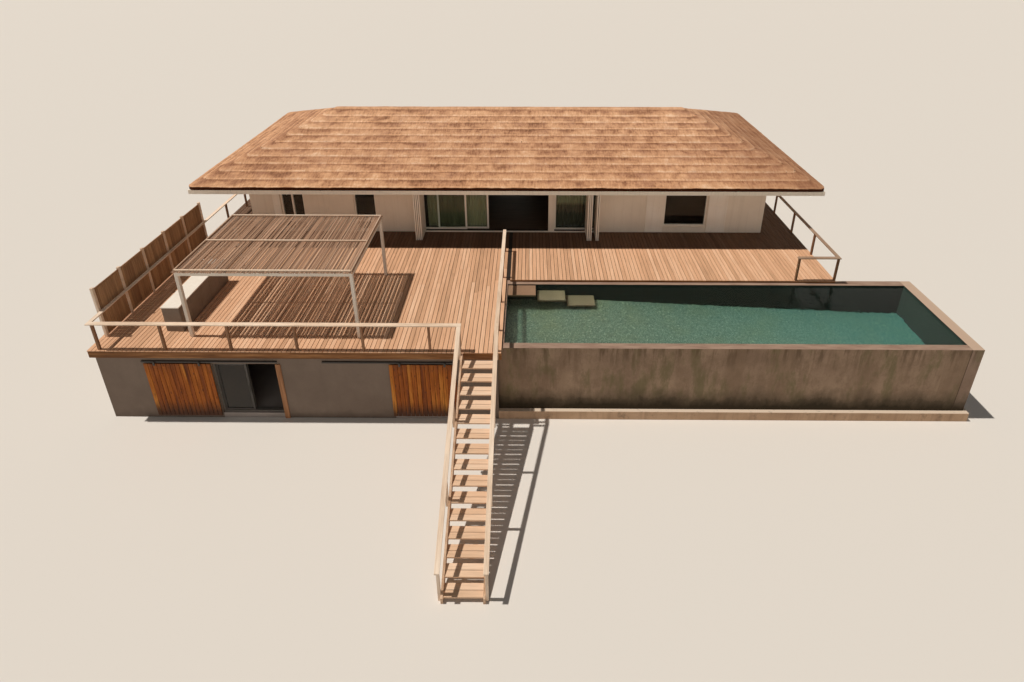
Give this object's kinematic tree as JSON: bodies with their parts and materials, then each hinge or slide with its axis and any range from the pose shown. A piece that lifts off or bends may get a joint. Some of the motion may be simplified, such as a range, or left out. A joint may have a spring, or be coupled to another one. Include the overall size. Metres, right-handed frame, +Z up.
{
  "type": "beach house with terrace and raised pool",
  "caption": "Beach house over a lower storey, with a thatched hip roof, boarded terrace, pergola, raised concrete pool, open timber stair and sliding timber shutters.",
  "frame": {"origin": "on the lowest ground, at the middle of the overall plan", "axes": "+X to the right along the front, +Y from the front to the back, +Z up"},
  "size_m": [28.14, 19.674, 7.5469],
  "materials": {
    "counter_grey": "matt",
    "counter_top": "honed",
    "curtain": "plain linen",
    "dark_metal": "satin",
    "deck_timber": "weathered boards",
    "edge_timber": "weathered",
    "floor_stone": "matt",
    "floor_timber": "oiled",
    "footing_concrete": "rough cast",
    "glass": "clear",
    "grey_plaster": "matt fine plaster",
    "pale_timber": "bleached",
    "pool_concrete": "weathered cast",
    "pool_lining": "fine plaster",
    "red_timber": "oiled boards",
    "reed": "bare poles",
    "thatch": "cut reed",
    "white_frame": "painted",
    "white_metal": "satin",
    "white_wall": "matt limewash"
  },
  "bodies": {
    "house": {"lower_front_walls": "grey_plaster", "lower_lintels": "grey_plaster", "lower_side_walls": "grey_plaster", "lower_back_wall": "grey_plaster", "lower_floor": "floor_stone", "garden_door_frames": "dark_metal", "garden_fixed_glass": "glass", "door_jamb": "red_timber", "shutter_rails": "dark_metal", "terrace_slab": "grey_plaster", "terrace_boards": "deck_timber", "terrace_edge_boards": "edge_timber", "railing_posts": "edge_timber", "railing_rails": "pale_timber", "screen_posts": "pale_timber", "screen_panels": "edge_timber", "pergola_posts": "white_metal", "pergola_beams": "white_metal", "pergola_canopy": "reed", "pergola_batten": "pale_timber", "kitchen_counter": "counter_grey", "kitchen_worktop": "counter_top", "stair_strings": "edge_timber", "stair_treads": "deck_timber", "stair_posts": "pale_timber", "stair_handrails": "pale_timber", "pool_front_wall": "pool_concrete", "pool_back_wall": "pool_concrete", "pool_side_walls": "pool_concrete", "pool_floor": "pool_lining", "pool_footing": "footing_concrete", "pool_steps": "pool_lining", "pool_deck_slab": "grey_plaster", "pool_deck_boards": "deck_timber", "pool_deck_edge": "edge_timber", "retaining_walls": "grey_plaster", "upper_floor": "floor_timber", "front_walls": "white_wall", "bay_lintel": "white_wall", "side_walls": "white_wall", "back_wall": "white_wall", "window_frames": "white_frame", "window_glass": "glass", "sliding_frames": "white_frame", "sliding_glass": "glass", "folded_shutters": "white_frame", "curtains": "curtain", "soffit": "white_wall", "eave_boards": "white_frame", "thatch_roof": "thatch", "ridge_cap": "thatch"},
    "left_shutter": {"left_shutter": "red_timber"},
    "right_shutter": {"right_shutter": "red_timber"},
    "garden_door": {"garden_door_leaf": "dark_metal", "garden_door_glass": "glass"}
  },
  "joints": [
    {"name": "left_shutter_slide", "type": "slide", "parent": "house", "child": "left_shutter", "axis": [1, 0, 0], "range_m": [0, 2.08]},
    {"name": "right_shutter_slide", "type": "slide", "parent": "house", "child": "right_shutter", "axis": [1, 0, 0], "range_m": [-2.08, 0]},
    {"name": "garden_door_slide", "type": "slide", "parent": "house", "child": "garden_door", "axis": [1, 0, 0], "range_m": [0, 0.927]}
  ]
}
